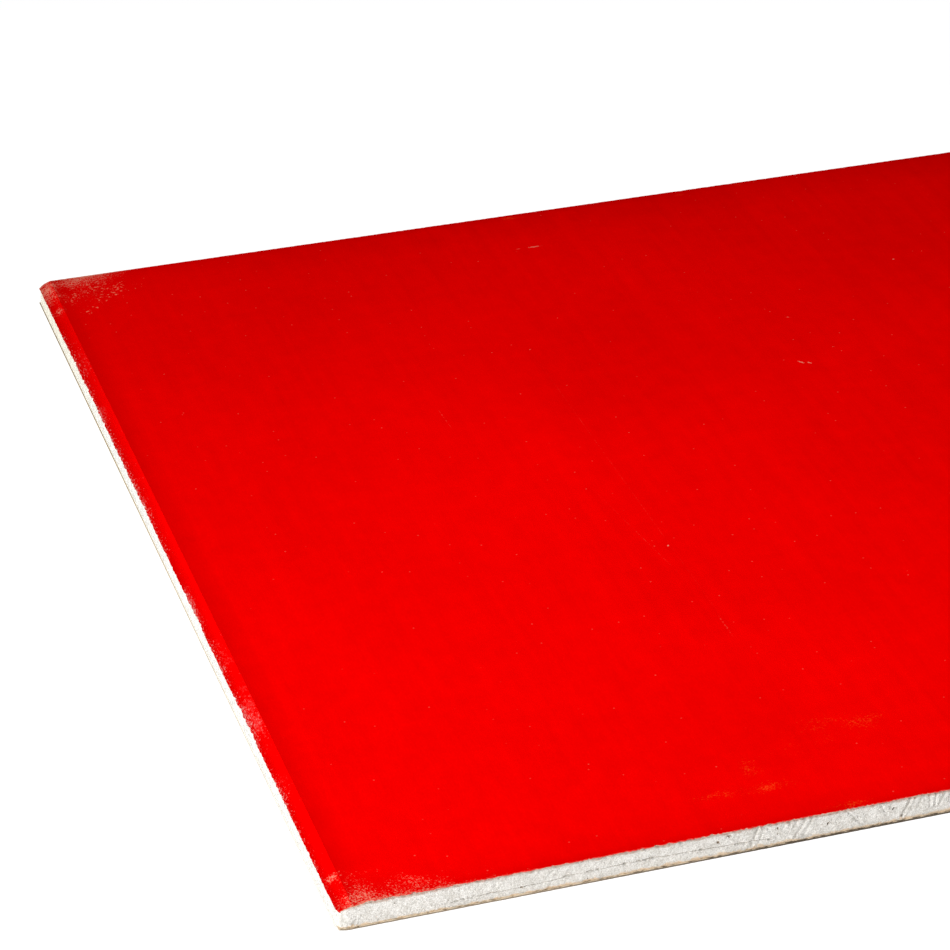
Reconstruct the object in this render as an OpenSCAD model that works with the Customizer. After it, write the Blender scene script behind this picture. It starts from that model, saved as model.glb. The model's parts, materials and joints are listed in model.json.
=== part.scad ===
// Paper-faced gypsum ceiling tile.
// A cast gypsum core lies between a red face paper and a grey-brown back paper.
// The two short edges are formed: the face paper turns down there over a rounded arris
// and stops part of the way down, so the core shows below it.
// The two long edges are cut square and show all three layers.
// Origin at the middle of the underside, +X along the length, +Z towards the red face.
// All sizes are in millimetres and all angles in degrees.

/* [Tile] */
// Length, between the tips of the back paper on the two formed edges
tile_length = 1200; // [600:10:2600]
// Width, between the two cut edges
tile_width = 600; // [300:10:1250]
// Thickness over both papers
tile_thickness = 12.5; // [9.5:0.5:25]

/* [Papers] */
// Thickness of the red face paper
face_paper_thickness = 0.5; // [0.3:0.05:0.8]
// Thickness of the back paper
back_paper_thickness = 0.5; // [0.3:0.05:0.8]

/* [Formed edge] */
// Radius of the rounded arris, measured over the face paper
arris_radius = 12; // [8:0.5:14]
// Tilt of the face paper at the crease where the arris begins
crease_angle = 12; // [5:1:20]
// Tilt of the face paper where it stops on the edge
lap_angle = 48; // [40:1:55]
// How far the back paper stands out past the end of the face paper
back_paper_lip = 0.3; // [0.1:0.1:1]

/* [Hidden] */
$fn = 96;

half_length = tile_length / 2;

// Height of the joint between the core and the face paper
core_top = tile_thickness - face_paper_thickness;
// The core follows the inside of the paper round the arris
core_radius = arris_radius - face_paper_thickness;

// Centre of the arris on the -X edge: the paper reaches the crease angle at the face
// and the lap angle just inside the tip of the back paper
arris_x = -half_length + back_paper_lip + arris_radius * sin(lap_angle);
arris_z = tile_thickness - arris_radius * cos(crease_angle);

// How far the outside of the paper and the core stand back from the tip of the back paper
paper_setback = back_paper_lip;
core_setback = back_paper_lip + face_paper_thickness * sin(lap_angle);

// Side of a square that reaches past the edge of the tile from the centre of the arris
clear_of_edge = 2 * arris_radius + tile_thickness;

// Runs a section, drawn with length across and thickness up, over the whole width
module over_width() {
    rotate([90, 0, 0])
        linear_extrude(height = tile_width, center = true)
            children();
}

// Draws its children on the -X edge and mirrored on the +X edge
module on_both_formed_edges() {
    for (side = [0, 1])
        mirror([side, 0])
            children();
}

// What lies outside a rounded arris of this radius
module outside_of_arris(radius) {
    translate([arris_x, arris_z])
        difference() {
            translate([-clear_of_edge, 0])
                square(clear_of_edge);
            circle(radius);
        }
}

// What lies past the end of the face paper, on the lower side of its lap
module past_the_lap() {
    translate([arris_x, arris_z])
        rotate(180 + lap_angle)
            translate([0, -clear_of_edge])
                square(clear_of_edge);
}

// Section from the back paper up to the given height, with both arrises rounded
module rounded_section(radius, setback, top) {
    difference() {
        translate([-half_length + setback, back_paper_thickness])
            square([tile_length - 2 * setback, top - back_paper_thickness]);
        on_both_formed_edges()
            outside_of_arris(radius);
    }
}

module core_section() {
    rounded_section(core_radius, core_setback, core_top);
}

module gypsum_core() {
    color("whitesmoke")
        over_width()
            core_section();
}

module face_paper() {
    color([0.86, 0.02, 0.01])
        over_width()
            difference() {
                rounded_section(arris_radius, paper_setback, tile_thickness);
                core_section();
                on_both_formed_edges()
                    past_the_lap();
            }
}

module back_paper() {
    color([0.70, 0.62, 0.53])
        over_width()
            translate([-half_length, 0])
                square([tile_length, back_paper_thickness]);
}

gypsum_core();
face_paper();
back_paper();
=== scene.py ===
import functools
import json
import math
import random

import bpy
from mathutils import Matrix, Vector

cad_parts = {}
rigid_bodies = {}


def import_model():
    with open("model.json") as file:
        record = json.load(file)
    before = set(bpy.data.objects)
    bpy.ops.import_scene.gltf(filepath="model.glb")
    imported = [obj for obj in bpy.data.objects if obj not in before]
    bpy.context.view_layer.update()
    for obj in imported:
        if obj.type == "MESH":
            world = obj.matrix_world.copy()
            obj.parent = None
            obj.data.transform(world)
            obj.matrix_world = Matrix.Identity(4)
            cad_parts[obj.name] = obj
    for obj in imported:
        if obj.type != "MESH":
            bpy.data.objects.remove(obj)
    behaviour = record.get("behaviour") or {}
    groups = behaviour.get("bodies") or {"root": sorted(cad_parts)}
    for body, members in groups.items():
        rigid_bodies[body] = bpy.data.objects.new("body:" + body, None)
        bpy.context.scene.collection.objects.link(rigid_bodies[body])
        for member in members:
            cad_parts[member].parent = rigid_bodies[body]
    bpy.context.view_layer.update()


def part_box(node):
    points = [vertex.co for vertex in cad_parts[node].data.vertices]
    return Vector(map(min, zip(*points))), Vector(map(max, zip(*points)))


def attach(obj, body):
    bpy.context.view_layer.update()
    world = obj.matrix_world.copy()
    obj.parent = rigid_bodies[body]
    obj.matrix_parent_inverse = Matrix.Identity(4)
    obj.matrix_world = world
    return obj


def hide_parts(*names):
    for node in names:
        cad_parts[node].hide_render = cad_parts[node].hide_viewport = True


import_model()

mm = 0.001
tiny = 0.01 * mm
longRun = 20 * mm  # an edge longer than this has not been cut fine yet
dice = random.Random(12)  # one seeded dice for everything that is scattered

# the three layers, as the CAD made them
coreLow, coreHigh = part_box("gypsum_core")
_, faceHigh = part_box("face_paper")
backLow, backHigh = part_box("back_paper")
halfLength = backHigh.x
halfWidth = backHigh.y
topZ = faceHigh.z
facePaperThickness = faceHigh.z - coreHigh.z
backPaperThickness = backHigh.z - backLow.z

# the formed edge: a crease in the face paper, then a round arris down to the lap
formedEdge = {
    "arrisRadius": 12 * mm,  # over the face paper
    "creaseAngle": math.radians(12),
    "lapAngle": math.radians(48),
}
arrisX = faceHigh.x - formedEdge["arrisRadius"] * math.sin(formedEdge["lapAngle"])
arrisZ = topZ - formedEdge["arrisRadius"] * math.cos(formedEdge["creaseAngle"])
creaseX = arrisX + formedEdge["arrisRadius"] * math.sin(formedEdge["creaseAngle"])
lapX = faceHigh.x


def paint(hexText):
    # an sRGB hex value as the linear colour that a node takes
    parts = [int(hexText[i:i + 2], 16) / 255 for i in (1, 3, 5)]
    return tuple(c / 12.92 if c <= 0.04045 else ((c + 0.055) / 1.055) ** 2.4 for c in parts) + (1.0,)


def addNode(tree, kind, sockets=None, out=0, **settings):
    # adds a node, sets it, links or fills its sockets and hands back one output
    # maths has its operation after a colon, and a bound that a MapRange leaves out is 0 or 1
    kind, _, operation = kind.partition(":")
    node = tree.nodes.new("ShaderNode" + kind)
    if operation:
        node.operation = operation
    for name, value in settings.items():
        setattr(node, name, value)
    for socket, source in (sockets or {}).items():
        if isinstance(source, bpy.types.NodeSocket):
            tree.links.new(source, node.inputs[socket])
        else:
            node.inputs[socket].default_value = source
    return node.outputs[out] if node.outputs else node


def startMaterial(name):
    # a new material without nodes, and what adds a node to it
    material = bpy.data.materials.new(name)
    material.use_nodes = True
    material.node_tree.nodes.clear()
    return material, functools.partial(addNode, material.node_tree)


def placeInMm(add):
    # Object coordinates in millimetres: whole, as x, y and z, and how far from the middle each way
    place = add("TexCoord", out="Object")
    place = add("VectorMath:SCALE", {0: place, "Scale": 1 / mm})
    x, y, z = add("SeparateXYZ", {0: place}).node.outputs
    endwise, sidewise = (add("Math:ABSOLUTE", {0: part}) for part in (x, y))
    return place, x, y, z, endwise, sidewise


def stretchedNoise(add, place, size, detail, roughness):
    # a noise whose grain has its own length in mm along x, y and z
    shares = tuple(1 / length for length in size)
    stretched = add("VectorMath:MULTIPLY", {0: place, 1: shares})
    sockets = {"Vector": stretched, "Scale": 1.0, "Detail": detail, "Roughness": roughness}
    return add("TexNoise", sockets)


def finishMaterial(add, color, height, bumpStrength, bumpDepth, **shader):
    # one rough shader with a bump, straight to the output
    bump = add("Bump", {"Strength": bumpStrength, "Distance": bumpDepth, "Height": height})
    sockets = {"Base Color": color, "Normal": bump}
    sockets.update(shader)
    surface = add("BsdfPrincipled", sockets)
    add("OutputMaterial", {"Surface": surface})


def startPiece(name, materials):
    # names the new primitive, puts its place into its mesh and opens it for editing
    piece = bpy.context.object
    piece.name = name
    piece.data.name = name
    for material in materials:
        piece.data.materials.append(material)
    bpy.ops.object.transform_apply(location=True, rotation=True, scale=True)
    bpy.ops.object.mode_set(mode="EDIT")
    return piece


def pick(piece, kind, test):
    # selects verts by place, edges by middle and run, or faces by middle
    bpy.ops.mesh.select_mode(type=kind)
    bpy.ops.mesh.select_all(action="DESELECT")
    bpy.ops.object.mode_set(mode="OBJECT")
    verts = piece.data.vertices
    if kind == "VERT":
        for vert in verts:
            vert.select = test(vert.co)
    elif kind == "EDGE":
        for edge in piece.data.edges:
            a, b = (verts[i].co for i in edge.vertices)
            edge.select = test((a + b) / 2, b - a)
    else:
        for face in piece.data.polygons:
            face.select = test(face.center)
    bpy.ops.object.mode_set(mode="EDIT")


def cutAcross(axis, places):
    # slices the whole piece square to an axis
    for place in places:
        point, normal = [0, 0, 0], [0, 0, 0]
        point[axis], normal[axis] = place, 1
        bpy.ops.mesh.select_all(action="SELECT")
        bpy.ops.mesh.bisect(plane_co=point, plane_no=normal)


def cutPanels(panel):
    # slices a whole sheet into square panels
    for axis, half in ((0, halfLength), (1, halfWidth)):
        count = round(half / panel)
        cutAcross(axis, [i * panel for i in range(1 - count, count)])


def cutEdge(piece, axis, start, cuts):
    # cuts the long edges that run along one axis fine, where they lie past a place on the other
    pick(piece, "EDGE", lambda middle, run: abs(middle[1 - axis]) > start and abs(run[axis]) > longRun)
    bpy.ops.mesh.subdivide(number_cuts=cuts)


def weigh(piece, name, weight):
    # a vertex group from a function of place, which a modifier then follows
    group = piece.vertex_groups.new(name=name)
    for vert in piece.data.vertices:
        share = weight(vert.co)
        if share > 0:
            group.add([vert.index], share, "REPLACE")


def push(piece, group, direction, depth, grain=None, contrast=1.0, level=1.0):
    # moves a weighed group along an axis: evenly, or by a cloudy noise from none to the full depth
    move = piece.modifiers.new(group, "DISPLACE")
    move.direction = direction
    move.mid_level = 0
    move.strength = depth
    move.vertex_group = group
    if grain:
        texture = bpy.data.textures.new(f"{piece.name}_{group}", "CLOUDS")
        texture.noise_scale = grain
        texture.noise_depth = 2
        texture.contrast = contrast
        texture.intensity = level
        texture.use_clamp = True
        move.texture = texture
        move.texture_coords = "LOCAL"
    bpy.context.view_layer.objects.active = piece
    bpy.ops.object.modifier_apply(modifier=move.name)


def closePiece(piece, smoothAngle, node):
    # finishes a piece: shading, and its place in the frame
    bpy.ops.object.select_all(action="DESELECT")
    piece.select_set(True)
    bpy.context.view_layer.objects.active = piece
    bpy.ops.object.shade_smooth_by_angle(angle=smoothAngle)
    piece.vertex_groups.clear()
    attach(piece, "root")
    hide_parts(node)
    print(f"{piece.name}: {len(piece.data.polygons)} faces")


# Red liner paper: recycled paper dyed in the mass and pressed smooth between rollers.
# It shows a flat, deep red with fibre streaks along the machine direction, no gloss,
# and pale gypsum dust and scuffs where the tile was handled.
redLiner = {
    "red": "#E70000",
    "dust": "#F0C8A8",
    "rust": "#FF7A2C",
    "crumb": "#FFB08A",          # gypsum crumbs, stained by the dye
    "bareFibre": "#D9C4BC",
    "fibre": (0.8, 2.4, 0.8),    # mm along x, y and z, and y is the machine direction
    "streak": (5.0, 120.0, 5.0),
    "cloud": 130.0,
    "patch": 11.0,
    "grit": 0.85,
    "nap": (0.9, 1.8, 0.9),      # raised fibre on the formed edge
    "wornStretch": 45.0,
    "fleck": (1.8, 1.3, 1.3),
    "speck": (13.0, 0.5),        # mm between places for a speck, and its radius
    # painted highlight at the crease and painted shade towards the lap, on the formed edge
    "bandHighlightAtCrease": 1.18,        # tone of the formed edge, from the crease to the lap
    "bandShadeAtLap": 0.62,
    # marks: mm from the left end, mm from the near edge, length, width, degrees, strength
    "dusty": [                   # gypsum dust, thick in the corners
        (14, 5, 84, 50, 0, 0.25), (44, 3, 110, 27, 0, 0.18), (9, 6, 26, 26, 0, 0.05), (3, 3, 14, 16, 0, 0.06),
        (4, 22, 11, 9, 0, 0.37), (24, 598, 88, 28, 0, 0.3), (22, 579, 84, 62, 0, 0.26),
        (3, 588, 14, 44, 0, 0.22), (4, 563, 10, 14, 0, 0.34), (1188, 2, 116, 50, 0, 0.36),
        (1186, 590, 100, 70, 0, 0.34), (271, 557, 13, 3, 0, 0.56), (262, 557, 6, 1.4, 0, 0.45),
        (360, 383, 7, 2.2, -55, 0.66), (364, 381, 6, 2, -55, 0.62), (373, 433, 6, 1.6, -30, 0.5),
        (383, 394, 4, 1.4, 0, 0.45), (229, 229, 2.2, 2.2, 0, 0.9), (454, 480, 2.6, 2.2, 0, 0.6),
        (230, 441, 2, 1.6, 0, 0.6),
    ],
    "flecked": [                 # where bigger flecks lie on the face
        (28, 580, 84, 56, 0, 0.29), (19, 556, 22, 18, 0, 0.24), (1184, 584, 90, 60, 0, 0.29),
    ],
    "smeared": [                 # rubbed places across the formed edge
        (1, 535, 6, 40, 0, 0.1), (4, 500, 12, 60, 0, 0.2), (1, 450, 8, 70, 0, 0.26),
        (1, 400, 8, 70, 0, 0.22), (1, 350, 8, 60, 0, 0.26), (1, 250, 6, 50, 0, 0.34),
        (3, 200, 12, 50, 0, 0.2), (4, 152, 16, 62, 0, 0.34), (1, 92, 9, 44, 0, 0.16),
        (1196, 300, 12, 60, 0, 0.26), (1196, 120, 12, 40, 0, 0.26),
    ],
    "rusty": [                   # rubbed against something rusty
        (196, 42, 26, 15, 60, 0.38), (197, 25, 50, 12, 5, 0.4), (172, 27, 42, 11, 5, 0.44),
        (238, 65, 26, 14, 20, 0.26), (260, 61, 34, 12, 10, 0.24), (226, 3, 50, 13, 0, 0.5),
        (205, 36, 90, 60, 20, 0.2), (252, 60, 110, 70, 15, 0.3), (270, 596, 30, 10, 0, 0.54),
        (371, 595, 18, 8, 0, 0.5), (408, 597, 30, 9, 0, 0.5),
    ],
    "scratches": [
        (165, 384, 29, 0.6, 92, 0.16), (220, 239, 116, 0.6, 98, 0.045),
        (230, 299, 330, 0.8, 90, 0.025), (229, 153, 22, 0.9, 90, 0.12),
    ],
    "tones": [                   # soft patches of lighter and darker tone, as a gain
        (184, 329, 150, 220, 0, 0.06), (125, 159, 60, 70, 0, -0.03), (20, 30, 160, 180, 0, 0.05),
        (273, 120, 140, 120, 0, 0.05), (600, 606, 3000, 80, 0, -0.1),
    ],
    "markHeight": 1e6,           # mm, so that a mark goes through the whole sheet
}


def addMarks(add, place, total, marks, full):
    # adds oval marks to a running total: none at the rim, and all from a share of the reach inwards
    for along, across, length, width, turn, strength in marks:
        oval = add("Mapping", {
            "Vector": place,
            "Location": (along - halfLength / mm, across - halfWidth / mm, 0),
            "Rotation": (0, 0, math.radians(turn)),
            "Scale": (length / 2, width / 2, redLiner["markHeight"]),
        }, vector_type="TEXTURE")
        reach = add("VectorMath:LENGTH", {0: oval}, out="Value")
        mask = add("MapRange", {0: reach, 1: 1.0, 2: full, 4: strength})
        total = add("Math:ADD", {0: total, 1: mask})
    return total


def makeRedLiner():
    material, add = startMaterial("red_liner_paper_calendered")
    place, _, y, _, endwise, sidewise = placeInMm(add)

    # fibres and roller streaks run along y, the machine direction
    fibre = stretchedNoise(add, place, redLiner["fibre"], 2.0, 0.6)
    streak = stretchedNoise(add, place, redLiner["streak"], 2.0, 0.55)
    cloud = add("TexNoise", {"Vector": place, "Scale": 1 / redLiner["cloud"], "Detail": 2.0})
    patch = add("TexNoise", {"Vector": place, "Scale": 1 / redLiner["patch"], "Detail": 3.0})
    grit = add("TexNoise", {"Vector": place, "Scale": 1 / redLiner["grit"], "Detail": 3.0, "Roughness": 0.65})

    # tone: every part adds a little either way of 1
    tone = add("MapRange", {0: fibre, 1: 0.25, 2: 0.75, 3: 0.96, 4: 1.04}, clamp=False)
    for part, gain in ((streak, 0.035), (patch, 0.04), (cloud, 0.05)):
        share = add("MapRange", {0: part, 1: 0.25, 2: 0.75, 3: -gain, 4: gain}, clamp=False)
        tone = add("Math:ADD", {0: tone, 1: share})
    tone = addMarks(add, place, tone, redLiner["tones"], 0.3)

    # painted light on the formed edge: a painted highlight at the crease, painted shade towards the lap and
    # towards the far end, and painted shade on the flat just inside the crease
    band = add("MapRange", {0: endwise, 1: creaseX / mm, 2: lapX / mm})
    bandShading = add("MapRange", {0: band, 3: redLiner["bandHighlightAtCrease"], 4: redLiner["bandShadeAtLap"]})
    # painted light falloff: the band is painted brighter at the near end and darker at the far end
    bandLight = add("MapRange", {0: y, 1: -halfWidth / mm, 2: halfWidth / mm, 3: 1.06, 4: 0.9})
    bandShading = add("Math:MULTIPLY", {0: bandShading, 1: bandLight})
    onBand = add("Math:GREATER_THAN", {0: endwise, 1: creaseX / mm})
    # painted shade in a strip on the flat just inside the crease
    creaseShade = add("MapRange", {0: endwise, 1: creaseX / mm - 12, 2: creaseX / mm, 3: 1.0, 4: 0.83})
    edgeTone = add("Mix", {0: onBand, 2: creaseShade, 3: bandShading}, data_type="FLOAT")
    tone = add("Math:MULTIPLY", {0: tone, 1: edgeTone})
    # and handled dull along the cut edges, more so along the near one
    for place1D, reach, end, dull in ((sidewise, 5, 0, 0.86), (y, -20, -5, 0.92)):
        edge = math.copysign(halfWidth / mm, reach)
        handled = add("MapRange", {0: place1D, 1: edge - reach, 2: edge - end, 3: 1.0, 4: dull})
        tone = add("Math:MULTIPLY", {0: tone, 1: handled})
    red = paint(redLiner["red"])
    color = add("Mix", {0: 1.0, 6: red, 7: tone}, out=2, data_type="RGBA", blend_type="MULTIPLY")

    # dust and rust sit where the marks are dense enough for the grit to hold them
    rough = add("Math:MULTIPLY_ADD", {0: patch, 1: 0.35, 2: grit})
    rough = add("Math:SUBTRACT", {0: rough, 1: 0.675})
    rust = add("Math:MULTIPLY", {0: rough, 1: 1.4})
    rust = addMarks(add, place, rust, redLiner["rusty"], 0.0)
    rust = add("MapRange", {0: rust, 1: 0.4, 4: 0.4}, interpolation_type="SMOOTHSTEP")
    rim = add("MapRange", {0: sidewise, 1: halfWidth / mm - 2, 2: halfWidth / mm, 4: 0.19})
    loose = add("Math:ADD", {0: rough, 1: rim})
    loose = addMarks(add, place, loose, redLiner["dusty"], 0.0)
    dust = add("MapRange", {0: loose, 1: 0.27, 2: 0.52, 4: 0.38}, interpolation_type="SMOOTHSTEP")
    scratch = addMarks(add, place, 0.0, redLiner["scratches"], 0.2)
    dotted = add("MapRange", {0: rough, 1: 0.02, 2: 0.14})
    dust = add("Math:MULTIPLY_ADD", {0: scratch, 1: dotted, 2: dust})
    # bigger flecks, only where they are marked
    fleck = stretchedNoise(add, place, redLiner["fleck"], 1.0, 0.5)
    fleck = add("Math:MULTIPLY_ADD", {0: patch, 1: 0.6, 2: fleck})
    fleck = addMarks(add, place, fleck, redLiner["flecked"], 0.2)
    fleck = add("MapRange", {0: fleck, 1: 1.21, 2: 1.29, 4: 0.38})
    # stray specks: a few of the places hold one
    apart, radius = redLiner["speck"]
    places = add("TexVoronoi", {"Vector": place, "Scale": 1 / apart}, voronoi_dimensions="2D").node
    distance = places.outputs["Distance"]
    dot = add("MapRange", {0: distance, 1: radius / apart, 2: 0.0})
    kept = add("SeparateColor", {0: places.outputs["Color"]})
    kept = add("MapRange", {0: kept, 1: 0.75, 4: 0.16})
    dust = add("Math:MULTIPLY_ADD", {0: dot, 1: kept, 2: dust})
    dust = add("Math:MINIMUM", {0: dust, 1: 0.7})

    # rubbed towards the lap: specks of bare fibre, thicker in stretches, and a haze where it is smeared
    nap = stretchedNoise(add, place, redLiner["nap"], 4.0, 0.7)
    stretchAt = add("Math:MULTIPLY", {0: y, 1: 1 / redLiner["wornStretch"]})
    stretch = add("TexNoise", {"W": stretchAt, "Scale": 1.0, "Detail": 2.0}, noise_dimensions="1D")
    worn = add("MapRange", {0: band, 1: 0.5, 4: 0.28})
    smear = addMarks(add, place, 0.0, redLiner["smeared"], 0.0)
    for part, weight in ((stretch, 0.4), (nap, 2.0), (smear, 0.8)):
        worn = add("Math:MULTIPLY_ADD", {0: part, 1: weight, 2: worn})
    worn = add("MapRange", {0: worn, 1: 1.58, 2: 1.88, 4: 0.46})
    smear = add("Math:MULTIPLY_ADD", {0: patch, 1: 0.6, 2: smear})
    smear = add("Math:ADD", {0: smear, 1: nap})
    smear = add("MapRange", {0: smear, 1: 0.98, 2: 1.4, 4: 0.12})
    worn = add("Math:MAXIMUM", {0: worn, 1: smear})
    worn = add("Math:MULTIPLY", {0: worn, 1: onBand})
    for share, tint in ((rust, "rust"), (fleck, "crumb"), (dust, "dust"), (worn, "bareFibre")):
        color = add("Mix", {0: share, 6: color, 7: paint(redLiner[tint])}, out=2, data_type="RGBA")
    finishMaterial(add, color, fibre, 0.15, 0.06 * mm,
                   **{"Roughness": 0.92, "Specular IOR Level": 0.0, "IOR": 1.5})
    return material


# Sawn liner edge: the plies of the face paper where the saw went through, grey-brown and woolly.
plyEdge = {
    "ply": "#8F8169",
    "wool": "#DCCBB9",
    "lap": "#DE8F86",            # torn here and not sawn, so that the dye shows
    "lapReach": 2.0,
    "dye": redLiner["red"],
    "wisp": 0.9,
    "stretch": 5.0,
}


def makePlyEdge():
    material, add = startMaterial("liner_paper_sawn_edge")
    place, _, _, z, endwise, _ = placeInMm(add)
    wisp = add("TexNoise", {"Vector": place, "Scale": 1 / plyEdge["wisp"], "Detail": 4.0, "Roughness": 0.7})
    woolly = add("MapRange", {0: wisp, 1: 0.34, 2: 0.54})
    lap = add("Math:GREATER_THAN", {0: endwise, 1: lapX / mm - plyEdge["lapReach"]})
    # the dye shows in the upper plies, and goes through in stretches
    stretch = add("TexNoise", {"Vector": place, "Scale": 1 / plyEdge["stretch"], "Detail": 2.0})
    dyed = add("Math:MULTIPLY_ADD", {0: wisp, 1: 0.9, 2: z})
    dyed = add("Math:MULTIPLY_ADD", {0: stretch, 1: 1.6, 2: dyed})
    dyed = add("MapRange", {0: dyed, 1: topZ / mm + 0.72, 2: topZ / mm + 0.92, 4: 0.9})
    color = paint(plyEdge["ply"])
    for share, tint in ((woolly, "wool"), (lap, "lap"), (dyed, "dye")):
        color = add("Mix", {0: share, 6: color, 7: paint(plyEdge[tint])}, out=2, data_type="RGBA")
    finishMaterial(add, color, wisp, 0.3, 0.1 * mm, **{"Roughness": 0.95, "Specular IOR Level": 0.1})
    return material


# Foamed gypsum: set plaster full of fine air bubbles, cast smooth on the formed edges and sawn on the
# others. It shows a chalky, slightly warm white, pores, and brown paper lint that the saw dragged up
# from the back.
gypsum = {
    "white": "#FDFAF5",
    "shade": "#D2CDC4",
    "cast": "#F9FCFE",           # near, and creamier towards the far side
    "castFar": "#FDFDF3",
    "lint": "#EBD0AE",
    # partly stain and partly painted shade under the face paper's edge
    "stainAndShade": "#CBB2A2",
    # painted shade with some dirt, for the holes and the crack
    "pore": "#A88F72",
    "grain": 0.75,
    "mottle": 4.0,
    "lintReach": (0.9, 2.9),     # mm over the floor
    "stainAndShadeReach": (1.8, 0.7),    # mm under the face paper
}


def makeGypsum():
    material, add = startMaterial("foamed_gypsum_sawn")
    place, x, y, z, endwise, sidewise = placeInMm(add)
    grain = add("TexNoise", {"Vector": place, "Scale": 1 / gypsum["grain"], "Detail": 5.0, "Roughness": 0.65})
    mottle = add("TexNoise", {"Vector": place, "Scale": 1 / gypsum["mottle"], "Detail": 3.0})
    share = add("Math:MULTIPLY_ADD", {0: mottle, 1: 0.4, 2: grain})
    share = add("MapRange", {0: share, 1: 0.55, 2: 0.83, 3: 1.0, 4: 0.0})
    white, shade = paint(gypsum["white"]), paint(gypsum["shade"])
    color = add("Mix", {0: share, 6: white, 7: shade}, out=2, data_type="RGBA")

    cast = add("Math:GREATER_THAN", {0: endwise, 1: coreHigh.x / mm - 0.8})
    farther = add("MapRange", {0: y, 1: 0.4 * halfWidth / mm, 2: 0.85 * halfWidth / mm})
    nearTint, farTint = paint(gypsum["cast"]), paint(gypsum["castFar"])
    castTint = add("Mix", {0: farther, 6: nearTint, 7: farTint}, out=2, data_type="RGBA")
    color = add("Mix", {0: cast, 6: color, 7: castTint}, out=2, data_type="RGBA", blend_type="MULTIPLY")

    # lint only on the sawn faces, low down, and a thin grey-tan band under the face paper, partly stain and
    # partly painted shade under the paper's edge
    sawn = add("Math:GREATER_THAN", {0: sidewise, 1: halfWidth / mm - 3.0})
    low, high = gypsum["lintReach"]
    lint = add("MapRange", {0: z, 1: high, 2: low, 4: 0.8}, clamp=False)
    leftEnd = -halfLength / mm
    lintAlong = add("MapRange", {0: x, 1: leftEnd, 2: leftEnd + 220, 3: -0.38, 4: -0.1})
    lint = add("Math:ADD", {0: lint, 1: lintAlong})
    low, high = (coreHigh.z / mm - reach for reach in gypsum["stainAndShadeReach"])
    stainAndShade = add("MapRange", {0: z, 1: low, 2: high, 4: 0.65}, clamp=False)
    for part, tint in ((lint, "lint"), (stainAndShade, "stainAndShade")):
        part = add("Math:ADD", {0: part, 1: grain})
        part = add("Math:MULTIPLY_ADD", {0: mottle, 1: 2.0, 2: part})
        part = add("MapRange", {0: part, 1: 1.62, 2: 2.05, 4: 0.85}, interpolation_type="SMOOTHSTEP")
        part = add("Math:MULTIPLY", {0: part, 1: sawn})
        color = add("Mix", {0: part, 6: color, 7: paint(gypsum[tint])}, out=2, data_type="RGBA")

    # painted shade, with some dirt, in the pores and in the crack
    dirt = add("Attribute", out="Fac", attribute_name="dirt")
    color = add("Mix", {0: dirt, 6: color, 7: paint(gypsum["pore"])}, out=2, data_type="RGBA")
    finishMaterial(add, color, grain, 0.9, 0.45 * mm,
                   **{"Roughness": 0.95, "Specular IOR Level": 0.15, "IOR": 1.52})
    return material


# Grey-brown liner paper: unbleached recycled paper. It shows a dull tan with darker and paler fibres.
brownLiner = {
    "tan": "#CDB799",
    "dark": "#93806A",
    "pale": "#DCCDB6",
    "wool": "#EBD8BD",
    # painted contact shadow at the foot of the sawn edges
    "footShadow": "#51473B",
    # the lip: near white as a painted highlight, and its edge darker towards the far side as painted shade
    "lip": "#FDFBF4",
    "lipEdge": "#B0965C",
    "lipEdgeFar": "#857144",
    "fibre": (0.8, 3.0, 0.8),    # mm along x, y and z
    "cloud": 60.0,
}


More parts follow.
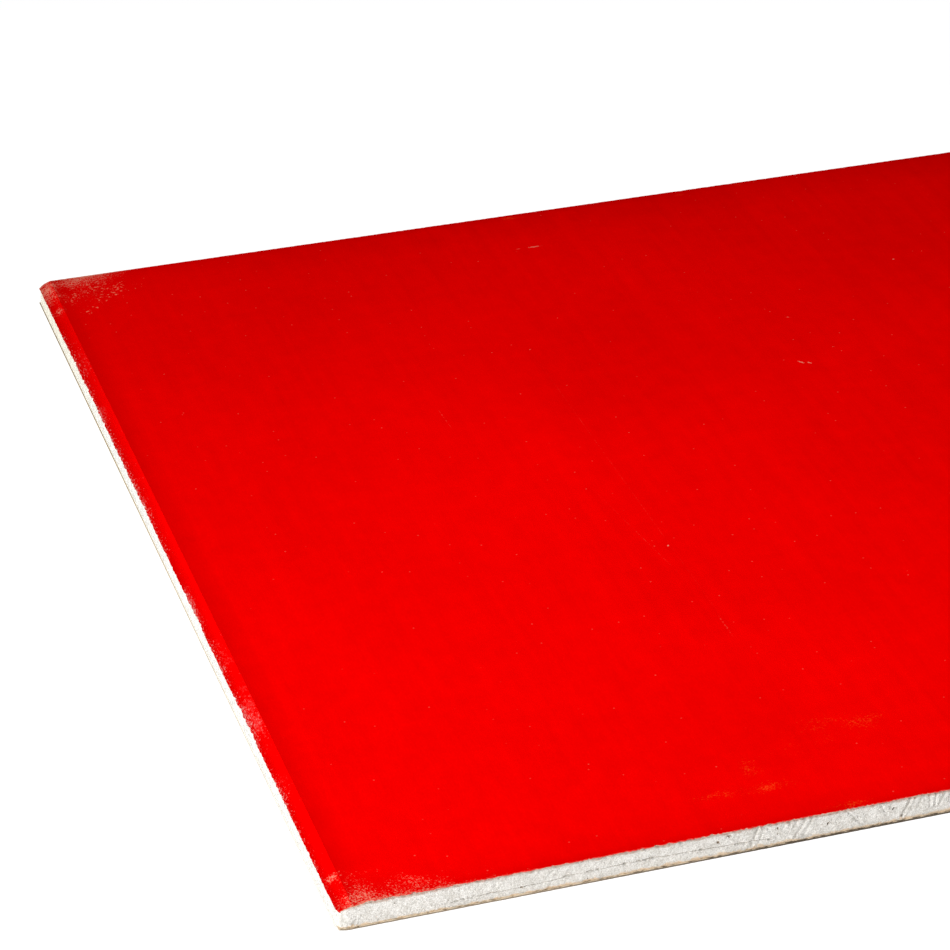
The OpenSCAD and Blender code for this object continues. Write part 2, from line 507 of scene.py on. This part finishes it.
def makeBrownLiner():
    material, add = startMaterial("brown_liner_paper")
    place, x, y, z, endwise, sidewise = placeInMm(add)
    fibre = stretchedNoise(add, place, brownLiner["fibre"], 4.0, 0.65)
    cloud = add("TexNoise", {"Vector": place, "Scale": 1 / brownLiner["cloud"], "Detail": 3.0})
    share = add("Math:MULTIPLY_ADD", {0: cloud, 1: 0.35, 2: fibre})
    paleShare = add("MapRange", {0: share, 1: 0.62})
    darkShare = add("MapRange", {0: share, 1: 0.62, 2: 0.3})
    # the sawn edges are woolly on top, with a painted dark shadow line at the foot that gets thicker away
    # from the left end
    edge = add("Math:GREATER_THAN", {0: sidewise, 1: halfWidth / mm - 1.0})
    leftEnd = -halfLength / mm
    thick = add("MapRange", {0: x, 1: leftEnd + 70, 2: leftEnd + 200})
    wool = add("MapRange", {0: z, 1: 0.45, 2: 0.75, 4: 0.75})
    wool = add("Math:MULTIPLY", {0: wool, 1: edge})
    foot = add("Math:MULTIPLY_ADD", {0: thick, 1: -0.2, 2: z})
    foot = add("MapRange", {0: foot, 1: 0.8, 2: 0.5})
    foot = add("Math:MULTIPLY", {0: foot, 1: edge})
    thick = add("MapRange", {0: thick, 3: 0.6, 4: 0.95})
    foot = add("Math:MULTIPLY", {0: foot, 1: thick})
    color = paint(brownLiner["tan"])
    for share, tint in ((paleShare, "pale"), (darkShare, "dark"), (wool, "wool"), (foot, "footShadow")):
        color = add("Mix", {0: share, 6: color, 7: paint(brownLiner[tint])}, out=2, data_type="RGBA")
    # the lip past the formed edges is painted near white as a painted highlight, and its outer edge is
    # painted darker towards the far side as painted shade
    coreEnd, tip = coreHigh.x / mm, halfLength / mm
    lip = add("MapRange", {0: endwise, 1: coreEnd - 0.5, 2: coreEnd})
    farther = add("MapRange", {0: y, 2: halfWidth / mm})
    white, nearTint, farTint = (paint(brownLiner[tint]) for tint in ("lip", "lipEdge", "lipEdgeFar"))
    edgeColor = add("Mix", {0: farther, 6: nearTint, 7: farTint}, out=2, data_type="RGBA")
    lipShade = add("MapRange", {0: y, 1: -0.9 * halfWidth / mm, 2: 0.4 * halfWidth / mm, 3: 0.1})
    outer = add("MapRange", {0: endwise, 1: tip - 0.48, 2: tip - 0.36})
    lipShade = add("Math:MULTIPLY", {0: lipShade, 1: outer})
    lipColor = add("Mix", {0: lipShade, 6: white, 7: edgeColor}, out=2, data_type="RGBA")
    color = add("Mix", {0: lip, 6: color, 7: lipColor}, out=2, data_type="RGBA")
    finishMaterial(add, color, fibre, 0.3, 0.08 * mm,
                   **{"Roughness": 0.93, "Specular IOR Level": 0.15, "IOR": 1.5})
    return material


# the near left corner took a knock: the corner is rounded off and the arris dented beside it
knock = {
    "reach": 4.5 * mm,
    "alongX": 1.5 * mm,
    "alongY": 1.2 * mm,
    "dentAlong": 7 * mm,
    "dentReach": 9 * mm,
    "dent": 1.3 * mm,
}


def knockCorner(piece, share):
    # share: how much of the knock this layer shows
    corner = Vector((-halfLength, -halfWidth))
    dented = corner + Vector((knock["dentAlong"], 0))

    def dentAt(co):
        return max(0.0, co.z / topZ * (1 - (co.xy - dented).length / knock["dentReach"]))

    weigh(piece, "knock", lambda co: share * max(0.0, 1 - (co.xy - corner).length / knock["reach"]))
    push(piece, "knock", "X", knock["alongX"])
    push(piece, "knock", "Y", knock["alongY"])
    weigh(piece, "dent", dentAt)
    push(piece, "dent", "Z", -knock["dent"])


# the face paper: a flat sheet, spun down over the arris at both ends, with torn edges
facePaper = {
    "arcSteps": 10,
    "panel": 75 * mm,
    "edgeCuts": 93,              # in each panel along an edge, for a torn edge about every 0.8 mm
    "rows": (1.2 * mm, 4 * mm, 8 * mm, 13 * mm),  # rows of faces along the cut edges
    # torn by the saw: how deep, then passes as share of that, grain, contrast and level
    "sawTear": {"nearEdge": 0.6 * mm, "farEdge": 0.24 * mm},
    "sawPasses": [(1.0, 1.1 * mm, 4.0, 0.62), (0.7, 4 * mm, 3.0, 0.66)],
    "sawBehind": 0.35,           # share in the row behind the edge
    # least torn at one place from the left end, and how far it takes to get to the full tear
    "clean": {"along": 45 * mm, "least": 0.4, "ends": 48 * mm, "before": 50 * mm, "after": 150 * mm},
    # chips out of the near edge: mm along from the left end, reach, share of the depth
    "chips": [(17, 5, 1.0), (25, 4, 0.6), (33, 3, 0.7), (52, 4, 0.5), (61, 3, 0.6)],
    "chipDepth": 1.6 * mm,
    "chipBehind": 0.3,
    "chipSlack": 1.1 * mm,       # how far the saw has already moved the edge
    # torn at the lap: how deep, passes as above, and over how many steps of the arc it fades
    "lapTear": 1.2 * mm,
    "lapPasses": [(0.9, 2.6 * mm, 3.0, 0.7), (0.5, 16 * mm, 3.5, 0.58)],
    "lapSteps": 4,
    "lapFall": 1.5,
    "lapEnds": (2 * mm, 5 * mm),  # from the cut edges, none and then all of it
    "lapLeast": 0.4,
    # where the lap is torn more: mm across from the near edge, and reach
    "tornLap": [(500, 40), (450, 35), (400, 30), (350, 35), (250, 25), (150, 30), (92, 20)],
}


def buildFacePaper():
    bpy.ops.mesh.primitive_plane_add(size=2, location=(0, 0, topZ))
    bpy.context.object.scale = (creaseX, halfWidth, 1)
    sheet = startPiece("red_face_paper", [makeRedLiner(), makePlyEdge()])
    arc = formedEdge["lapAngle"] - formedEdge["creaseAngle"]
    for side in (-1, 1):
        pick(sheet, "EDGE", lambda middle, run: middle.x * side > creaseX - tiny)
        bpy.ops.mesh.spin(steps=facePaper["arcSteps"], angle=-side * arc,
                          center=(side * arrisX, 0, arrisZ), axis=(0, 1, 0))

    # panels over the flat, then fine cuts along all four edges
    cutPanels(facePaper["panel"])
    cutAcross(1, [side * (halfWidth - row) for side in (-1, 1) for row in facePaper["rows"]])
    cutEdge(sheet, 0, halfWidth - facePaper["rows"][-1] - tiny, facePaper["edgeCuts"])
    cutEdge(sheet, 1, creaseX - tiny, facePaper["edgeCuts"])
    bpy.ops.mesh.select_all(action="SELECT")
    bpy.ops.mesh.remove_doubles(threshold=tiny / 10)
    bpy.ops.mesh.normals_make_consistent(inside=False)
    bpy.ops.object.mode_set(mode="OBJECT")
    if max(sheet.data.polygons, key=lambda face: face.area).normal.z < 0:
        bpy.ops.object.mode_set(mode="EDIT")
        bpy.ops.mesh.flip_normals()
        bpy.ops.object.mode_set(mode="OBJECT")

    inner = halfWidth - facePaper["rows"][0]

    def rimShare(outward, slack, behind):
        # all at the edge itself, and a share in the row behind it
        if outward > halfWidth - slack:
            return 1.0
        return behind if outward > inner - slack else 0.0

    def sawTorn(co, side):
        clean = facePaper["clean"]
        along = co.x + halfLength
        reach = clean["after"] if along > clean["ends"] else clean["before"]
        amount = min(1.0, clean["least"] + abs(along - clean["along"]) / reach)
        return amount * rimShare(co.y * side, tiny, facePaper["sawBehind"])

    def chipped(co):
        along = (co.x + halfLength) / mm
        chip = max(0.0, *(share * (1 - abs(along - middle) / reach)
                          for middle, reach, share in facePaper["chips"]))
        return chip * rimShare(-co.y, facePaper["chipSlack"], facePaper["chipBehind"])

    def lapTorn(co, side):
        # most at the lap, less up the arc, and none at the ends of the lap
        if co.x * side < creaseX + tiny:
            return 0.0
        angle = math.asin((co.x * side - arrisX) / formedEdge["arrisRadius"])
        steps = (formedEdge["lapAngle"] - angle) / arc * facePaper["arcSteps"]
        fade = max(0.0, 1 - steps / facePaper["lapSteps"]) ** facePaper["lapFall"]
        none, full = facePaper["lapEnds"]
        fromEnd = max(0.0, min(1.0, (halfWidth - abs(co.y) - none) / (full - none)))
        across = (co.y + halfWidth) / mm
        stretch = max(0.0, *(1 - abs(across - middle) / reach for middle, reach in facePaper["tornLap"]))
        least = facePaper["lapLeast"]
        return fromEnd * fade * (least + (1 - least) * min(1.0, 2 * stretch))

    # torn edges: the sawn ends move in, the near one is chipped, and the lap moves up the arris
    for name, side in (("nearEdge", -1), ("farEdge", 1)):
        weigh(sheet, name, lambda co: sawTorn(co, side))
        for share, grain, contrast, level in facePaper["sawPasses"]:
            tear = facePaper["sawTear"][name] * share
            push(sheet, name, "Y", -side * tear, grain, contrast, level)
    weigh(sheet, "chips", chipped)
    push(sheet, "chips", "Y", facePaper["chipDepth"], grain=1.4 * mm, contrast=2.0, level=0.9)
    lapIn, lapUp = math.cos(formedEdge["lapAngle"]), math.sin(formedEdge["lapAngle"])
    for name, side in (("leftLap", -1), ("rightLap", 1)):
        weigh(sheet, name, lambda co: lapTorn(co, side))
        for share, grain, contrast, level in facePaper["lapPasses"]:
            tear = facePaper["lapTear"] * share
            push(sheet, name, "X", -side * tear * lapIn, grain, contrast, level)
            push(sheet, name, "Z", tear * lapUp, grain, contrast, level)

    knockCorner(sheet, 1.0)
    wall = sheet.modifiers.new("thickness", "SOLIDIFY")
    wall.thickness = facePaperThickness
    wall.offset = -1
    wall.material_offset_rim = 1
    bpy.ops.object.modifier_apply(modifier=wall.name)
    closePiece(sheet, math.radians(8), "face_paper")


# the core: a fine grid for the sawn face, pushed through to the far side, then cracked, pitted and gouged
core = {
    "grain": 0.65 * mm,          # spacing of the grid on the sawn faces
    "castGrain": 1.2 * mm,       # and along the cast faces, which are cut in spans first
    "castSpans": 5,
    "castRough": [(0.14 * mm, 3.5 * mm), (0.2 * mm, 30 * mm)],  # depth and grain
    "plainLevel": 0.35,          # of the saw's depth, where there is no stroke
    "sawDepth": 0.95 * mm,
    "sawReach": 3 * mm,          # how far in the strokes act
    "strokeLip": (1.5, 0.5, 0.6),  # middle and half width, in widths of the stroke, and height
    "tooth": 0.5 * mm,           # roughness between the strokes, then passes as share, grain, contrast
    "toothPasses": [(1.0, 1.2 * mm, 1.6), (0.45, 5 * mm, 1.3)],
    "toothReach": 4 * mm,
    "crumbDepth": 1.3 * mm,
    "crumbTop": 1.3 * mm,        # reach of the crumbs under the face paper
    "crumbFoot": (0.3, 3 * mm),  # share at the back paper, and by how much height it would be 1 less
    "crackWidth": 0.3 * mm,
    "crackDepth": 1.4 * mm,
    "crackBand": 2.5 * mm,       # the crack's cuts stay this near to it
    "crackEnd": 0.3 * mm,
    "crackChips": {"count": 26, "reach": (0.4, 1.2), "off": (-0.15, 0.15), "wide": 0.55, "share": (0.4, 0.9)},
    # the crack in the near face: mm along from the left end, mm up
    "crack": [
        (49, 3.4), (59, 4.1), (80, 4.3), (96, 4.8), (100, 5.4), (118, 5.7), (127, 6.1),
        (138, 6), (162, 5.5), (175, 4.9), (188, 4.6), (192, 4.2),
    ],
    # air holes in the near face: mm along, mm up, mm across
    "holes": [
        (25, 8.5, 0.7), (80, 4.1, 1), (109, 2.1, 0.8), (167, 7.5, 1.1), (172, 9.7, 1.4),
        (194, 8.8, 1), (194, 5.8, 1), (217, 6.4, 1.1), (247, 7.6, 1), (251, 2.7, 1.2),
    ],
    # saw strokes in the near face: from mm along, mm up, to mm along, mm up, mm wide, share of the depth
    "strokes": [
        (185, 11.2, 182, 2.7, 0.8, 0.7), (188, 10.5, 185, 2.7, 0.7, 0.5), (189, 10.5, 192, 4.8, 0.6, 0.3),
        (203, 10.5, 201, 7.6, 0.7, 0.4), (207, 11.2, 202, 2.7, 0.8, 0.6), (210, 10.8, 206, 2.7, 0.7, 0.5),
        (225, 11.2, 232, 3.4, 0.6, 0.45), (230, 7.6, 232, 4.8, 0.6, 0.4), (241, 10.5, 244, 5.1, 0.6, 0.45),
        (255, 11.2, 251, 2.7, 0.9, 0.7), (260, 9.8, 258, 4.8, 0.7, 0.5), (264, 11.2, 264, 5.5, 0.7, 0.4),
        (267, 11.2, 266, 5.3, 0.7, 0.5), (271, 10.8, 268, 4.3, 0.8, 0.6), (274, 11.2, 273, 6.3, 0.7, 0.4),
        (62, 10.4, 59, 6.2, 0.7, 0.3), (71, 11, 68, 7.2, 0.7, 0.3), (86, 11.2, 83, 8.2, 0.7, 0.35),
        (94, 9.6, 91, 6.2, 0.7, 0.35), (103, 10.2, 100, 7.2, 0.7, 0.3), (148, 10.7, 146, 7.2, 0.7, 0.3),
    ],
    # on the rest of both sawn faces: mm from the ends, mm up, mm wide and share of the depth
    "strayStrokes": {
        "count": 80, "from": {-1: 285, 1: 10}, "fromEnd": 10, "top": (7, 11.2), "foot": (2, 5),
        "lean": (-5, 1.5), "wide": (0.6, 0.9), "share": (0.3, 0.7),
    },
    "finerStrokes": {
        "count": 240, "spread": (-0.99, 0.99), "up": (3, 11), "reach": (1.2, 3.5), "lean": 0.5,
        "wide": 0.7, "share": (0.15, 0.4),
    },
    "strayHoles": {"count": 90, "from": {-1: 300, 1: 20}, "fromEnd": 20, "fromPaper": 1.5},
    "holeRim": 0.12 * mm,
    "holeDepth": 0.8 * mm,
    "strayHoleRim": 0.1 * mm,
    "strayHoleDepth": 0.7 * mm,
    # painted shade, with some dirt, in the crack and in the holes
    "dirt": 0.85,
    "dirtAndShadeDepth": (0.5 * mm, 0.85 * mm),
    "dirtAndShadeFromEnd": 1 * mm,
}


def segmentReach(px, pz, ax, az, bx, bz):
    # how far a place on a sawn face lies from a line on it
    rx, rz = bx - ax, bz - az
    t = max(0.0, min(1.0, ((px - ax) * rx + (pz - az) * rz) / (rx * rx + rz * rz)))
    return math.hypot(px - ax - t * rx, pz - az - t * rz)


def nearPlace(along, up):
    # a place on the near cut edge, from mm along and mm up
    return -halfLength + along * mm, up * mm


def scatterStrokes():
    # the placed strokes of the near face, then stray ones on both faces
    strokes = {-1: [], 1: []}
    for aAlong, aUp, bAlong, bUp, wide, share in core["strokes"]:
        strokes[-1].append((*nearPlace(aAlong, aUp), *nearPlace(bAlong, bUp), wide * mm, share))
    stray = core["strayStrokes"]
    for i in range(stray["count"]):
        side = dice.choice((-1, 1))
        px = dice.uniform(-halfLength + stray["from"][side] * mm, halfLength - stray["fromEnd"] * mm)
        top, foot = dice.uniform(*stray["top"]) * mm, dice.uniform(*stray["foot"]) * mm
        lean = dice.uniform(*stray["lean"]) * mm
        wide, share = dice.uniform(*stray["wide"]) * mm, dice.uniform(*stray["share"])
        strokes[side].append((px, top, px + lean, foot, wide, share))
    finer = core["finerStrokes"]
    for i in range(finer["count"]):
        px, pz = dice.uniform(*finer["spread"]) * halfLength, dice.uniform(*finer["up"]) * mm
        reach = dice.uniform(*finer["reach"]) * mm
        side, share = dice.choice((-1, 1)), dice.uniform(*finer["share"])
        strokes[side].append((px, pz, px - reach * finer["lean"], pz - reach, finer["wide"] * mm, share))
    chips = core["crackChips"]
    for i in range(chips["count"]):
        (aAlong, aUp), (bAlong, bUp) = dice.choice(list(zip(core["crack"], core["crack"][1:])))
        t, reach = dice.random(), dice.uniform(*chips["reach"])
        along, up = aAlong + t * (bAlong - aAlong), aUp + t * (bUp - aUp) + dice.uniform(*chips["off"])
        start, end = nearPlace(along - reach, up), nearPlace(along + reach, up)
        strokes[-1].append((*start, *end, chips["wide"] * mm, dice.uniform(*chips["share"])))
    return strokes


def weighSaw(block, name, side, strokes):
    # how deep the saw went: a plain level, deeper along each stroke and proud at its lips
    columns = {}
    for vert in block.data.vertices:
        if vert.co.y * side > halfWidth - core["sawReach"]:
            columns.setdefault(round(vert.co.x / core["grain"]), []).append(vert)
    lipMiddle, lipHalf, lipHeight = core["strokeLip"]
    outer = lipMiddle + lipHalf
    depthAt = {}
    for ax, az, bx, bz, width, share in strokes:
        first = round((min(ax, bx) - outer * width) / core["grain"])
        last = round((max(ax, bx) + outer * width) / core["grain"])
        for column in range(first, last + 1):
            for vert in columns.get(column, ()):
                reach = segmentReach(vert.co.x, vert.co.z, ax, az, bx, bz) / width
                cut = 1 - reach * reach
                if reach >= 1:
                    cut = -lipHeight * max(0, 1 - ((reach - lipMiddle) / lipHalf) ** 2)
                depthAt[vert.index] = depthAt.get(vert.index, 0) + share * cut
    group = block.vertex_groups.new(name=name)
    for verts in columns.values():
        for vert in verts:
            depth = core["plainLevel"] + depthAt.get(vert.index, 0)
            group.add([vert.index], max(0.0, min(1.0, depth)), "REPLACE")


def buildCore():
    length, height = coreHigh.x - coreLow.x, coreHigh.z - coreLow.z
    bpy.ops.mesh.primitive_grid_add(size=2, x_subdivisions=round(length / core["grain"]),
                                    y_subdivisions=round(height / core["grain"]),
                                    location=(0, -halfWidth, (coreLow.z + coreHigh.z) / 2),
                                    rotation=(math.pi / 2, 0, 0))
    bpy.context.object.scale = (length / 2, height / 2, 1)
    block = startPiece("gypsum_core_sawn", [makeGypsum()])

    # columns under the arris are pressed down to the round
    coreRadius = formedEdge["arrisRadius"] - facePaperThickness
    columns = sorted({round(v.co.x, 6) for v in block.data.vertices})
    for column in columns:
        inRound = abs(column) - arrisX
        if inRound <= 0:
            continue
        roundTop = arrisZ + math.sqrt(coreRadius ** 2 - inRound ** 2)
        if roundTop < coreHigh.z:
            pick(block, "VERT", lambda co: abs(co.x - column) < tiny)
            bpy.ops.transform.resize(value=(1, 1, (roundTop - coreLow.z) / height),
                                     center_override=(column, -halfWidth, coreLow.z))

    # the crack: three close cuts along each stretch of it
    crackLine = [Vector((-halfLength + along * mm, -halfWidth, up * mm)) for along, up in core["crack"]]
    for start, end in zip(crackLine, crackLine[1:]):
        across = Vector((start.z - end.z, 0, end.x - start.x)).normalized()

        def besideCrack(middle):
            return start.x <= middle.x < end.x and abs(middle.z - start.z) < core["crackBand"]

        for offset in (-core["crackWidth"] / 2, 0, core["crackWidth"] / 2):
            pick(block, "FACE", besideCrack)
            bpy.ops.mesh.bisect(plane_co=start + across * offset, plane_no=across, threshold=tiny)

    # through to the far side
    bpy.ops.mesh.select_all(action="SELECT")
    bpy.ops.mesh.extrude_region_move(TRANSFORM_OT_translate={"value": (0, 2 * halfWidth, 0)})
    span = 2 * halfWidth / core["castSpans"]
    for i in range(1, core["castSpans"]):  # only at the ends, because the papers hide the rest
        pick(block, "FACE", lambda middle: abs(middle.x) > creaseX)
        bpy.ops.mesh.bisect(plane_co=(0, i * span - halfWidth, 0), plane_no=(0, 1, 0))
    cutEdge(block, 1, coreHigh.x - tiny, round(span / core["castGrain"]) - 1)
    bpy.ops.mesh.select_all(action="SELECT")
    bpy.ops.mesh.normals_make_consistent(inside=False)
    print("core: block shaped")

    # air holes, the placed ones and then stray ones
    def sinkPicked(rim, depth, oneByOne):
        bpy.ops.mesh.inset(thickness=rim, depth=-depth, use_individual=oneByOne)
        bpy.ops.mesh.select_more()
        bpy.ops.mesh.vertices_smooth(factor=0.5, repeat=1, yaxis=False)

    def isHole(middle):
        if middle.y > -halfWidth + tiny:
            return False
        for along, up, wide in core["holes"]:
            px, pz = nearPlace(along, up)
            if math.hypot(middle.x - px, middle.z - pz) < wide / 2 * mm:
                return True
        return False

    def isStrayHole(middle):
        if abs(middle.y) <= halfWidth - tiny:
            return False
        return any(middle.y * side > 0 and abs(middle.x - px) < reach and abs(middle.z - pz) < reach
                   for side, px, pz in spots)

    pick(block, "FACE", isHole)
    sinkPicked(core["holeRim"], core["holeDepth"], False)
    stray = core["strayHoles"]
    lowest, highest = coreLow.z + stray["fromPaper"] * mm, coreHigh.z - stray["fromPaper"] * mm
    reach = core["grain"] * 0.5
    spots = []
    for i in range(stray["count"]):
        side = dice.choice((-1, 1))
        px = dice.uniform(-halfLength + stray["from"][side] * mm, halfLength - stray["fromEnd"] * mm)
        spots.append((side, px, dice.uniform(lowest, highest)))
    pick(block, "FACE", isStrayHole)
    sinkPicked(core["strayHoleRim"], core["strayHoleDepth"], True)
    bpy.ops.object.mode_set(mode="OBJECT")

    # the crack opens inwards
    def inCrack(co):
        inside = crackLine[0].x + core["crackEnd"] < co.x < crackLine[-1].x - core["crackEnd"]
        if co.y > -halfWidth + tiny or not inside:
            return 0.0
        reach = min(segmentReach(co.x, co.z, a.x, a.z, b.x, b.z) for a, b in zip(crackLine, crackLine[1:]))
        return 1.0 if reach < tiny else 0.0

    weigh(block, "crack", inCrack)
    # painted shade, with some dirt, shows in the crack and in the holes
    dirt = block.data.attributes.new("dirt", "FLOAT", "POINT")
    shallow, deep = core["dirtAndShadeDepth"]
    for vert in block.data.vertices:
        inHole = halfWidth - deep < abs(vert.co.y) < halfWidth - shallow
        if inHole and abs(vert.co.x) < coreHigh.x - core["dirtAndShadeFromEnd"] or len(vert.groups):
            dirt.data[vert.index].value = core["dirt"]
    push(block, "crack", "Y", core["crackDepth"], grain=3 * mm, contrast=2.5)
    print("core: crack and holes")

    # the saw: strokes, a rough tooth, and crumbled arrises under the papers
    def crumbled(co, side):
        if co.y * side <= halfWidth - core["toothReach"]:
            return 0.0
        most, height = core["crumbFoot"]
        return max(0.0, 1 - (coreHigh.z - co.z) / core["crumbTop"], most - (co.z - coreLow.z) / height)

    strokes = scatterStrokes()
    for end, side in (("near", -1), ("far", 1)):
        weighSaw(block, end + "Saw", side, strokes[side])
        push(block, end + "Saw", "Y", -side * core["sawDepth"])
        weigh(block, end + "Tooth", lambda co: float(co.y * side > halfWidth - core["toothReach"]))
        for share, grain, contrast in core["toothPasses"]:
            push(block, end + "Tooth", "Y", -side * core["tooth"] * share, grain, contrast)
        weigh(block, end + "Crumbs", lambda co: crumbled(co, side))
        push(block, end + "Crumbs", "Y", -side * core["crumbDepth"], grain=1.7 * mm, contrast=2.6, level=0.85)
    for end, side in (("left", -1), ("right", 1)):
        weigh(block, end + "Cast", lambda co: float(co.x * side > coreHigh.x - tiny))
        for depth, grain in core["castRough"]:
            push(block, end + "Cast", "X", -side * depth, grain)
    knockCorner(block, 1.0)
    print("core: saw marks")
    closePiece(block, math.radians(60), "gypsum_core")


# the back paper: a flat sheet with a frayed edge that swells where the saw came out
backPaper = {
    "panel": 75 * mm,
    "edgeCuts": 93,
    "rows": (0.8 * mm, 3 * mm),
    "fray": {"near": 0.18 * mm, "far": 0.18 * mm, "left": 0.08 * mm, "right": 0.08 * mm},
    "swell": 0.55 * mm,
    "press": 0.25 * mm,          # the lip past the formed edges is pressed thin
    "pressReach": 0.3 * mm,
}


def buildBackPaper():
    bpy.ops.mesh.primitive_plane_add(size=2, location=(0, 0, backLow.z))
    bpy.context.object.scale = (halfLength, halfWidth, 1)
    sheet = startPiece("brown_back_paper", [makeBrownLiner()])
    cutPanels(backPaper["panel"])
    for row in backPaper["rows"]:
        cutAcross(0, [side * (halfLength - row) for side in (-1, 1)])
        cutAcross(1, [side * (halfWidth - row) for side in (-1, 1)])
    cutEdge(sheet, 0, halfWidth - backPaper["rows"][-1] - tiny, backPaper["edgeCuts"])
    cutEdge(sheet, 1, halfLength - backPaper["rows"][-1] - tiny, backPaper["edgeCuts"])
    bpy.ops.mesh.select_all(action="SELECT")
    bpy.ops.mesh.flip_normals()
    bpy.ops.object.mode_set(mode="OBJECT")
    for name, axis, side in (("near", 1, -1), ("far", 1, 1), ("left", 0, -1), ("right", 0, 1)):
        end = halfWidth if axis else halfLength
        weigh(sheet, name, lambda co: float(co[axis] * side > end - tiny))
        push(sheet, name, "XY"[axis], -side * backPaper["fray"][name], grain=1.6 * mm, contrast=1.5)
    wall = sheet.modifiers.new("thickness", "SOLIDIFY")
    wall.thickness = backPaperThickness
    wall.offset = -1
    bpy.ops.object.modifier_apply(modifier=wall.name)

    # the lip is pressed down, and the sawn edges stand up in woolly tufts against the core
    lipX = halfLength - backPaper["pressReach"]
    inner = halfWidth - backPaper["rows"][0] - tiny
    weigh(sheet, "lip", lambda co: float(abs(co.x) > lipX and co.z > backPaperThickness / 2))
    push(sheet, "lip", "Z", -backPaper["press"])
    weigh(sheet, "tufts", lambda co: float(abs(co.y) > inner and co.z > backPaperThickness / 2))
    push(sheet, "tufts", "Z", backPaper["swell"], grain=2.2 * mm, contrast=2.2)
    knockCorner(sheet, 0.8)
    closePiece(sheet, math.radians(30), "back_paper")


buildCore()
buildFacePaper()
buildBackPaper()


# camera: solved from the straight edges of the tile in the photograph
view = {
    "place": Vector((-903.3, -1457.2, 894.6)) * mm,
    "turn": math.radians(-17.457),
    "tilt": math.radians(29.621),    # down from level
    "roll": math.radians(-0.394),
    "focalPixels": 3613.4,
    "framePixels": 950,
    "sensor": 36,
    "clipStart": 0.05,
}


def placeCamera():
    camera = bpy.data.objects.new("camera", bpy.data.cameras.new("camera"))
    bpy.context.scene.collection.objects.link(camera)
    camera.data.sensor_width = view["sensor"]
    camera.data.lens = view["focalPixels"] / view["framePixels"] * view["sensor"]
    camera.data.clip_start = view["clipStart"]
    camera.location = view["place"]
    turn = Matrix.Rotation(view["turn"], 3, "Z") @ Matrix.Rotation(math.pi / 2 - view["tilt"], 3, "X")
    camera.rotation_euler = (turn @ Matrix.Rotation(view["roll"], 3, "Z")).to_euler()
    bpy.context.scene.camera = camera
    print("camera placed")


# studio: a pale floor, a soft box over the near left corner, a high lamp at the right, a low one at the
# front left, and two small ones that fill the left edge and the near corner
studio = {
    "floor": "#F4F4F4",
    "floorSize": 8.0,
    "floorDrop": 0.05 * mm,
    "floorGlow": 0.86,               # how white the floor is to the camera before any lamp
    "floorShadow": 0.3,              # share of the lamps' light and shadow that the camera sees on it
    "world": 0.25,
    # place, aim, size and power
    "softbox": ((-0.60, -0.16, 0.60), (-0.60, -0.16, 0.0), 0.4, 2.3),
    "highLamp": ((0.29, -0.54, 0.98), (-0.45, -0.25, 0.0), 0.4, 5.5),
    "lowLamp": ((-2.98, -1.34, 0.34), (-0.60, -0.05, 0.0), 0.5, 50.0),
    "sideLamp": ((-1.50, 0.70, 0.12), (-0.60, 0.25, 0.0), 0.3, 2.6),
    "frontLamp": ((-0.66, -0.60, 0.10), (-0.56, -0.30, 0.0), 0.15, 0.12),
}


def cameraShare(add):
    # 1 for what the camera sees, straight or in a gloss or glass
    lightPath = add("LightPath").node
    straight, glossy = lightPath.outputs["Is Camera Ray"], lightPath.outputs["Is Glossy Ray"]
    seen = add("Math:MAXIMUM", {0: straight, 1: glossy})
    return add("Math:MAXIMUM", {0: seen, 1: lightPath.outputs["Is Transmission Ray"]})


def lightStudio():
    bpy.ops.object.select_all(action="DESELECT")
    bpy.ops.mesh.primitive_plane_add(size=studio["floorSize"], location=(0, 0, -studio["floorDrop"]))
    floor = bpy.context.object
    floor.name = "studio_floor"
    material, add = startMaterial("pale_floor")
    lit = add("BsdfDiffuse", {"Color": paint(studio["floor"])})
    faint = add("BsdfDiffuse", {"Color": (studio["floorShadow"],) * 3 + (1,)})
    glow = add("Emission", {"Color": (1, 1, 1, 1), "Strength": studio["floorGlow"]})
    seen = add("AddShader", {0: faint, 1: glow})
    mixed = add("MixShader", {0: cameraShare(add), 1: lit, 2: seen})
    add("OutputMaterial", {"Surface": mixed})
    floor.data.materials.append(material)

    world = bpy.data.worlds.new("studio")
    world.use_nodes = True
    world.node_tree.nodes.clear()
    add = functools.partial(addNode, world.node_tree)
    strength = add("MapRange", {0: cameraShare(add), 3: studio["world"]})
    air = add("Background", {"Color": (1, 1, 1, 1), "Strength": strength})
    add("OutputWorld", {"Surface": air})
    bpy.context.scene.world = world

    for name in ("softbox", "highLamp", "lowLamp", "sideLamp", "frontLamp"):
        place, aim, size, power = studio[name]
        data = bpy.data.lights.new(name, "AREA")
        data.shape = "SQUARE"
        data.size = size
        data.energy = power
        lamp = bpy.data.objects.new(name, data)
        lamp.location = place
        lamp.rotation_euler = (Vector(aim) - Vector(place)).to_track_quat("-Z", "Y").to_euler()
        lamp.visible_camera = False
        bpy.context.scene.collection.objects.link(lamp)
    print("studio lit")


placeCamera()
lightStudio()
bpy.context.scene.view_settings.view_transform = "Standard"
